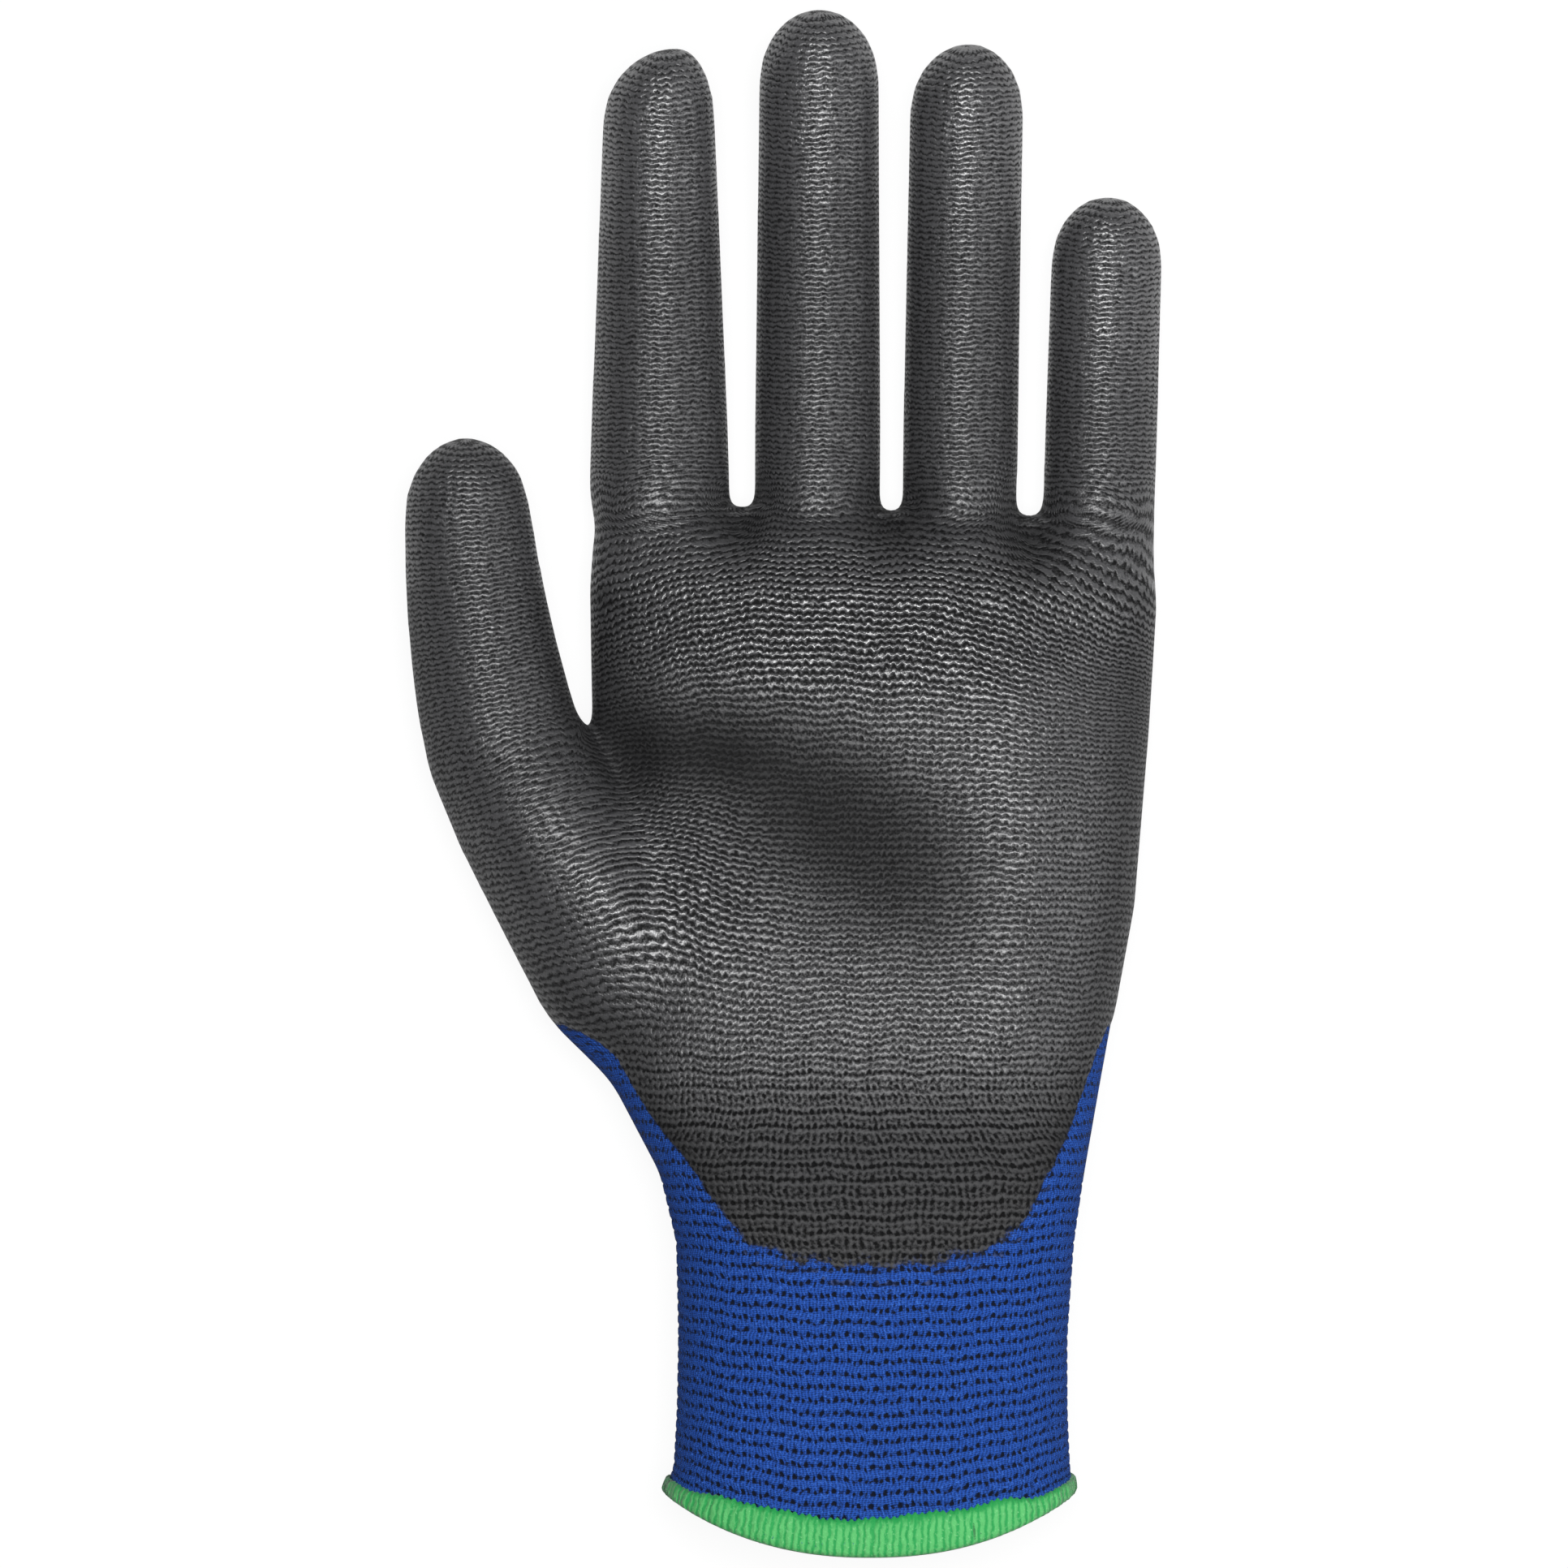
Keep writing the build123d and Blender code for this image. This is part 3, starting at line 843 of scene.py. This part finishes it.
# %% Make the liner and the film of each part
in_hand = places[:, 1] > WRIST_Y
liners, films = {}, {}
for index, (name, digit, number) in enumerate(parts):
    liner = cut_out(f"{name}_knit", (part_of == index) & in_hand)
    write_uv(liner, *knit_coordinates(points_of(liner), 1.0, 1.0))
    apply_modifier(liner, "SOLIDIFY", thickness=KNIT_WALL * MM, offset=-1, use_even_offset=False)
    film = cut_out(f"{name}_film", (part_of == index) & (inset_of_face > FILM_MARGIN))
    write_uv(film, *knit_coordinates(points_of(film), DIGIT_WALE_SCALE, DIGIT_COURSE_SCALE))
    lift_film(film)
    apply_modifier(film, "SOLIDIFY", thickness=FILM_WALL * MM, offset=-1, use_even_offset=False)
    liners[name], films[name] = liner, film
for piece in (cuff_knit, hem, *liners.values(), *films.values()):
    only(piece)
    bpy.ops.object.shade_smooth_by_angle(angle=radians(60))
bpy.data.objects.remove(skin)
print(len(liners), "liners and", len(films), "films")

# %% [markdown]
# ## Ride
# The hand, the cuff and the hem ride on the root body. For each part of a digit a stretch round its
# fold is worked out, from behind the fold to past it, and the part keeps its place in the mesh.

# %% Tie the hand to the root body and hide the parts it replaces
FOLD_REACH = 8.0
ROOT_EXTRA = 3
CUT_MARGIN = 0.3
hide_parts("hand_liner")
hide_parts("palm_coating")
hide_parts("wrist_cuff")
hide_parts("cuff_hem")
for piece in (liners["hand"], films["hand"], cuff_knit, hem):
    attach(piece, "root")
for name, digit, number in parts[1:]:
    fold = digit.folds[number]
    cuts = [*cuts_of(digit), digit.shaft]
    reach_ahead = FOLD_REACH + ROOT_EXTRA if number == 0 else FOLD_REACH
    start = max(fold - FOLD_REACH, cuts[number] + CUT_MARGIN)
    end = min(fold + reach_ahead, cuts[number + 1] - CUT_MARGIN)
    for piece, layer in ((liners[name], "liner"), (films[name], "coating")):
        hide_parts(f"{name}_{layer}")
        digit.centre(start) * MM
        digit.centre(end) * MM
        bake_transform(piece)
print(2 * (len(parts) - 1), "pieces blend over", len(FOLDS), "folds")

# %% [markdown]
# ## Finishes
# One helper adds a node with its settings and links, and another fills a node's inputs. Colours are
# sRGB hex values, which one function turns to the linear values that a renderer works in. A pattern
# that follows the knit reads the UV map, and one that doesn't reads Object coordinates.


# %% Helpers for finishes
MATH, MIX, RAMP, NOISE = "ShaderNodeMath", "ShaderNodeMix", "ShaderNodeMapRange", "ShaderNodeTexNoise"
SMOOTH = {"interpolation_type": "SMOOTHSTEP"}
SEEDED = {"noise_dimensions": "4D"}
COLOURS = {"output": 2, "data_type": "RGBA"}


def linear(hex_colour):
    """An sRGB hex colour as linear red, green, blue and alpha."""
    values = [int(hex_colour[i : i + 2], 16) / 255 for i in (0, 2, 4)]
    return (*(v / 12.92 if v <= 0.04045 else ((v + 0.055) / 1.055) ** 2.4 for v in values), 1.0)


def fill(tree, node, links):
    """Links a node's inputs to sockets, or sets them to values."""
    for slot, value in links.items() if isinstance(links, dict) else enumerate(links):
        if isinstance(value, bpy.types.NodeSocket):
            tree.links.new(value, node.inputs[slot])
        else:
            node.inputs[slot].default_value = value


def add(tree, kind, links=(), output=0, **settings):
    """Adds a node, sets it, fills its inputs, and returns one of its outputs."""
    node = tree.nodes.new(kind)
    for key, value in settings.items():
        setattr(node, key, value)
    fill(tree, node, links)
    return node.outputs[output]


def new_material(name):
    """A new material with its node tree and its Principled shader."""
    material = bpy.data.materials.new(name)
    material.use_nodes = True
    return material, material.node_tree, material.node_tree.nodes["Principled BSDF"]


print("mid grey in linear light", round(linear("808080")[0], 3))

# %% [markdown]
# Both the knit and the film show stitches, so the pattern of the stitches is made once, from the two
# lengths in the UV map. Above the wrist the stitches are finer, and the film lies thick on them.

# %% Patterns of the knit
FINE_KNIT_Y = -34.0
COARSE_KNIT_Y = -54.0


def knit_position(tree):
    """Wale and course in millimetres, from the UV map."""
    uv = add(tree, "ShaderNodeUVMap", uv_map="Knit")
    return [add(tree, "ShaderNodeSeparateXYZ", (uv,), axis) for axis in (0, 1)]


def wave(tree, length, pitch):
    """A cosine of a length with a pitch in millimetres, from -1 to 1."""
    angle = add(tree, MATH, (length, tau / pitch), operation="MULTIPLY")
    return add(tree, MATH, (angle,), operation="COSINE")


def stitch_nodes(tree, wale, course, wale_pitch=WALE_PITCH, course_pitch=COURSE_PITCH):
    """Pits between the stitches, from 0 to 1, in step with those pressed into the cuff."""
    shifted = add(tree, MATH, (wale, -CENTRE_X))
    level = add(tree, MATH, (course, -WRIST_Y))
    stitch = add(tree, MATH, (shifted, pi / wale_pitch), operation="MULTIPLY")
    arch = add(tree, MATH, (add(tree, MATH, (stitch,), operation="SINE"),), operation="ABSOLUTE")
    climb = add(tree, MATH, (arch, ARCH, level), operation="MULTIPLY_ADD")
    both = add(tree, MATH, (wave(tree, shifted, wale_pitch), wave(tree, shifted, wale_pitch / 2)))
    across = add(tree, MATH, (both, (1 - GROOVE) / 4, (1 + GROOVE) / 2), operation="MULTIPLY_ADD")
    along = add(tree, MATH, (wave(tree, climb, course_pitch), 0.0), operation="MAXIMUM")
    return add(tree, MATH, (across, along), operation="MULTIPLY")


def stitch_legs(tree, wale):
    """A wave across the cuff's knit with two crests to a wale, one for each leg of a stitch."""
    return wave(tree, add(tree, MATH, (wale, -CENTRE_X)), WALE_PITCH / 2)


def near_wrist(tree, course):
    """0 on the hand and 1 near the wrist."""
    return add(tree, RAMP, (course, FINE_KNIT_Y, COARSE_KNIT_Y), **SMOOTH)


def soaked(tree, place):
    """1 inside the film's edge and 0 outside it, ragged at the scale of the yarn."""
    inset = add(tree, "ShaderNodeAttribute", output=2, attribute_name="film_inset")
    cloud = add(tree, NOISE, {0: place, 1: 3.0, 2: 1 / (0.6 * MM), 3: 3.0}, **SEEDED)
    ragged = add(tree, MATH, (cloud, 3.0, -1.5), operation="MULTIPLY_ADD")
    return add(tree, RAMP, (add(tree, MATH, (inset, ragged)), -0.5, 0.5), **SMOOTH)


def layer_tones(tree, tone, layers):
    """Lays colours over a tone, each where its value rises between two limits."""
    for value, low, high, colour in layers:
        share = add(tree, RAMP, (value, low, high), **SMOOTH)
        tone = add(tree, MIX, {0: share, 6: tone, 7: linear(colour)}, **COLOURS)
    return tone


print("stitches in mm: palm", (PALM_WALE, PALM_COURSE), "cuff", (WALE_PITCH, COURSE_PITCH))

# %% [markdown]
# The liner is nylon spun with glass or steel, in plain knit. To the eye it is a matt deep blue with
# a grid of small pits, one for each stitch, darkened with painted shade, and lighter fibres between
# them. The stitches of the hand are the smallest, so there every second pit is drawn fainter, and the
# rest show. The filaments of the yarn are far too fine to show, so strands are drawn 0.66 mm apart,
# three to a stitch.

# %% Blue nylon knit
STRAND_PITCH = 0.66


def nylon_knit():
    """Blue knit with painted shade in the pits between the stitches, stained where the film soaks in."""
    material, tree, shader = new_material("blue nylon knit")
    wale, course = knit_position(tree)
    place = add(tree, "ShaderNodeTexCoord", output=3)
    wrist = near_wrist(tree, course)
    fine = stitch_nodes(tree, wale, course, 2 * PALM_WALE, PALM_COURSE)
    pits = add(tree, MIX, {0: wrist, 2: fine, 3: stitch_nodes(tree, wale, course)})
    cloud = add(tree, NOISE, {0: place, 1: 1.0, 2: 1 / (0.5 * MM), 3: 3.0}, **SEEDED)
    patchy = add(tree, MATH, (cloud, 1.9, -0.95), operation="MULTIPLY_ADD")
    legs = add(tree, MATH, (stitch_legs(tree, wale), wrist), operation="MULTIPLY")
    # Painted shade in the pits, with faint columns along the legs of the cuff's stitches and a random
    # mottle.
    pit_shade_and_mottle = add(tree, MATH, (legs, 0.14, add(tree, MATH, (pits, patchy))), operation="MULTIPLY_ADD")
    slants = [add(tree, MATH, (wale, lean, course), operation="MULTIPLY_ADD") for lean in (0.6, -0.6)]
    fibres = add(tree, MATH, [wave(tree, slant, STRAND_PITCH) for slant in slants], operation="MULTIPLY")
    fuzz = add(tree, NOISE, {0: place, 2: 1 / (0.32 * MM), 3: 4.0}, **SEEDED)
    # The darkest layer is the painted shade of the pits.
    tone = layer_tones(tree, linear("12306E"), (
        (fibres, -0.9, 0.9, "2458BC"), (fuzz, 0.5, 0.72, "3C70D4"), (pit_shade_and_mottle, 0.12, 0.66, "060D1E"),
    ))
    tone = add(tree, MIX, {0: soaked(tree, place), 6: tone, 7: linear("222326")}, **COLOURS)
    raised = add(tree, MATH, (1.0, pits), operation="SUBTRACT")
    relief = add(tree, MATH, (fuzz, 0.7, raised), operation="MULTIPLY_ADD")
    relief = add(tree, MATH, (fibres, 0.18, relief), operation="MULTIPLY_ADD")
    bump = add(tree, "ShaderNodeBump", {"Strength": 0.9, "Distance": 0.4 * MM, "Height": relief})
    fill(tree, shader, {"Base Color": tone, "Normal": bump, "Roughness": 0.85, "Specular IOR Level": 0.25})
    fill(tree, shader, {"Sheen Weight": 0.16, "Sheen Tint": linear("3C70D4")})
    return material


knit = nylon_knit()
print(knit.name, "has", len(knit.node_tree.nodes), "nodes")

# %% [markdown]
# Polyurethane dipped from a solvent sets to a thin satin film that follows each stitch under it. To
# the eye it is a dark grey with soft highlights, ribbed by the courses at a pitch of 1.15 mm, with
# shorter and wider stitches on the digits and open pits near the wrist, where the dip is thin. Its
# colour holds painted shade in the grooves and pits and painted light on the crests of the ribs.
# The pores of the film are too fine to show, so its grain is drawn with cells of 0.26 mm.

# %% Dark polyurethane film
GRAIN = 0.26


def polyurethane_film():
    """Satin film over knit: wavy ribs with painted shade in the grooves, rough at the scale of the yarn."""
    material, tree, shader = new_material("grey polyurethane film")
    wale, course = knit_position(tree)
    place = add(tree, "ShaderNodeTexCoord", output=3)
    wrist = near_wrist(tree, course)
    slow = add(tree, NOISE, {0: place, 2: 1 / (5.0 * MM), 3: 2.0}, **SEEDED)
    quick = add(tree, NOISE, {0: place, 2: 1 / (0.7 * MM), 3: 2.0}, **SEEDED)
    drift = add(tree, MATH, (slow, 1.6, -0.8), operation="MULTIPLY_ADD")
    jitter = add(tree, MATH, (quick, 0.9, -0.45), operation="MULTIPLY_ADD")
    bent = add(tree, MATH, (course, add(tree, MATH, (drift, jitter))))
    arch = wave(tree, add(tree, MATH, (wale, drift)), PALM_WALE)
    ribs = wave(tree, add(tree, MATH, (arch, 0.13, bent), operation="MULTIPLY_ADD"), PALM_COURSE)
    ribs = add(tree, MATH, (arch, 0.25, ribs), operation="MULTIPLY_ADD")
    taut = add(tree, "ShaderNodeAttribute", output=2, attribute_name="taut")
    ribs = add(tree, MATH, (ribs, taut), operation="MULTIPLY")
    raised = add(tree, MATH, (ribs, 0.3))
    thin = add(tree, MATH, (stitch_legs(tree, wale), -0.45, raised), operation="MULTIPLY_ADD")
    thin = add(tree, MATH, (stitch_nodes(tree, wale, course), -1.8, thin), operation="MULTIPLY_ADD")
    height = add(tree, MIX, {0: wrist, 2: ribs, 3: thin})
    grain = add(tree, NOISE, {0: place, 1: 2.0, 2: 1 / (GRAIN * MM), 3: 3.0}, **SEEDED)
    coarse = add(tree, MATH, (grain, 3.4, height), operation="MULTIPLY_ADD")
    # Painted light on the crests of the ribs and painted shade in their grooves and pits.
    crest_light_groove_shade = add(tree, RAMP, (coarse, 0.35, 2.75), **SMOOTH)
    # The number on each vertex adds gloss, painted light on the pads and tips, and painted shade.
    gloss_and_painted_light = add(tree, "ShaderNodeAttribute", output=2, attribute_name="gloss_and_painted_light")
    lit = add(tree, MATH, (crest_light_groove_shade, gloss_and_painted_light), operation="MULTIPLY")
    # Tones from painted shade to painted light: grey on the film, blue where it hasn't soaked in.
    grey = add(tree, MIX, {0: lit, 6: linear("0B0B0C"), 7: linear("4C4C4E")}, **COLOURS)
    blue = add(tree, MIX, {0: lit, 6: linear("0A142C"), 7: linear("2750A0")}, **COLOURS)
    tone = add(tree, MIX, {0: soaked(tree, place), 6: blue, 7: grey}, **COLOURS)
    satin = add(tree, MIX, {0: lit, 2: 0.75, 3: 0.34})
    satin = add(tree, MIX, {0: wrist, 2: satin, 3: add(tree, MATH, (satin, 0.16))})
    gloss = add(tree, MATH, (lit, 1.05, 0.2), operation="MULTIPLY_ADD")
    relief = add(tree, MATH, (grain, 0.9, height), operation="MULTIPLY_ADD")
    bump = add(tree, "ShaderNodeBump", {"Strength": 1.0, "Distance": 0.075 * MM, "Height": relief})
    fill(tree, shader, {"Base Color": tone, "Roughness": satin, "Specular IOR Level": gloss, "Normal": bump})
    return material


film_finish = polyurethane_film()
print(film_finish.name, "has", len(film_finish.node_tree.nodes), "nodes")

# %% [markdown]
# The hem is textured polyester thread, bulked so that it covers the edge: bright green, soft, with
# painted shade in the gaps between the wraps. The elastic in the cuff is rubber covered with
# polyester. The turns of its cover are less than a millimetre apart, too fine to show, so they are
# drawn coarser.

# %% Green polyester thread and elastic
ELASTIC_RIB = 3.158


def polyester_thread():
    """Bright green bulked thread, with painted shade in the gap between one wrap and the next."""
    material, tree, shader = new_material("green polyester thread")
    along, across = knit_position(tree)
    place = add(tree, "ShaderNodeTexCoord", output=3)
    wander = add(tree, NOISE, {0: place, 2: 1 / (1.4 * MM), 3: 3.0}, **SEEDED)
    fibre = add(tree, NOISE, {0: place, 2: 1 / (0.4 * MM), 3: 4.0}, **SEEDED)
    speck = add(tree, NOISE, {0: place, 1: 4.0, 2: 1 / (0.9 * MM), 3: 3.0}, **SEEDED)
    wrap = wave(tree, add(tree, MATH, (along, wander)), WRAP_PITCH)
    from_edge = add(tree, MATH, (speck, 2.5, across), operation="MULTIPLY_ADD")
    # The wraps are light, and the gaps between them get painted shade.
    tone = layer_tones(tree, linear("2BA152"), (
        (wrap, -1.0, 0.4, "5EC06F"), (fibre, 0.55, 0.8, "8CDB94"), (from_edge, 3.9, 2.0, "1E9A4A"),
    ))
    relief = add(tree, MATH, (fibre, 1.6, wrap), operation="MULTIPLY_ADD")
    bump = add(tree, "ShaderNodeBump", {"Strength": 0.7, "Distance": 0.15 * MM, "Height": relief})
    fill(tree, shader, {"Base Color": tone, "Normal": bump, "Roughness": 0.8, "Specular IOR Level": 0.3})
    fill(tree, shader, {"Sheen Weight": 0.2})
    return material


def covered_elastic():
    """Dark blue covered rubber, ribbed at a slant by the turns of its cover."""
    material, tree, shader = new_material("covered rubber elastic")
    place = add(tree, "ShaderNodeTexCoord", output=3)
    # The phase of a diagonal wave is 10 times its scale times the sum of x, y and z.
    scale = tau / (10 * ELASTIC_RIB * MM)
    turns = add(tree, "ShaderNodeTexWave", {0: place, 1: scale}, 1, bands_direction="DIAGONAL")
    tone = add(tree, MIX, {0: turns, 6: linear("14254A"), 7: linear("2A4787")}, **COLOURS)
    bump = add(tree, "ShaderNodeBump", {"Strength": 0.5, "Distance": 0.1 * MM, "Height": turns})
    fill(tree, shader, {"Base Color": tone, "Normal": bump, "Roughness": 0.7})
    return material


def dress(thing, material):
    """Gives a piece one material."""
    thing.data.materials.clear()
    thing.data.materials.append(material)


for name in liners:
    dress(liners[name], knit)
    dress(films[name], film_finish)
dress(cuff_knit, knit)
dress(hem, polyester_thread())
elastic = bpy.data.objects["elastic_yarns"]
for slot in elastic.material_slots:
    slot.material = covered_elastic()
print("dressed", len(liners) + len(films) + 3, "pieces")

# %% [markdown]
# ## Floor, light and camera
# The floor is plain, white to the camera and in reflections, and dark grey to diffuse light, so that
# it doesn't brighten the glove from below. A soft square lamp overhead gives each finger a highlight
# down its middle, a weaker one fills the right side, and a dim world lets the sides turn dark.


# %% Floor
def pale_floor():
    """A floor that is seen as white, and that keeps a soft shadow."""
    low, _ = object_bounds()
    bpy.ops.mesh.primitive_plane_add(size=4, location=(0, 0, low.z - 0.0002))
    floor = bpy.context.object
    floor.name = "floor"
    material, tree, shader = new_material("white paper floor")
    fill(tree, shader, {"Base Color": linear("606060"), "Roughness": 1.0, "Specular IOR Level": 0.0})
    camera_ray, glossy_ray, through_ray = (
        add(tree, "ShaderNodeLightPath", output=ray) for ray in (0, 3, 6)
    )
    eye = add(tree, MATH, (add(tree, MATH, (camera_ray, glossy_ray)), through_ray), use_clamp=True)
    glow = add(tree, "ShaderNodeEmission", {0: (1, 1, 1, 1), 1: 0.9})
    both = add(tree, "ShaderNodeAddShader", (shader.outputs[0], glow))
    seen = add(tree, "ShaderNodeMixShader", (eye, shader.outputs[0], both))
    tree.links.new(seen, tree.nodes["Material Output"].inputs["Surface"])
    floor.data.materials.append(material)
    floor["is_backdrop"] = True
    return floor


print("floor at", round(pale_floor().location.z / MM, 2), "mm")


# %% Lamps and world
def soft_lamp(name, place, size, power):
    """A square lamp that shines at the glove."""
    bpy.ops.object.light_add(type="AREA", location=place)
    lamp = bpy.context.object
    lamp.name = name
    lamp.data.size = size
    lamp.data.energy = power
    lamp.rotation_euler = Vector(place).to_track_quat("Z", "Y").to_euler()
    print(name, power, "W")


soft_lamp("overhead", (0.02, 0.06, 1.1), 0.42, 12)
soft_lamp("side_fill", (0.85, 0.0, 0.55), 0.5, 2.8)
world = bpy.data.worlds.new("studio")
bpy.context.scene.world = world
world.use_nodes = True
fill(world.node_tree, world.node_tree.nodes["Background"], ((1, 1, 1, 1), 0.04))

# %% Camera
CAMERA_HEIGHT = 1.2
FRAME_HEIGHT = 0.244
FOCUS_LEVEL = 0.012
SENSOR = 36.0
bpy.ops.object.camera_add(location=(0, 0, CAMERA_HEIGHT), rotation=(0, 0, 0))
camera = bpy.context.object
camera.data.sensor_width = SENSOR
camera.data.lens = SENSOR * (CAMERA_HEIGHT - FOCUS_LEVEL) / FRAME_HEIGHT
bpy.context.scene.camera = camera
bpy.context.scene.view_settings.view_transform = "Standard"
print("lens", round(camera.data.lens, 1), "mm")
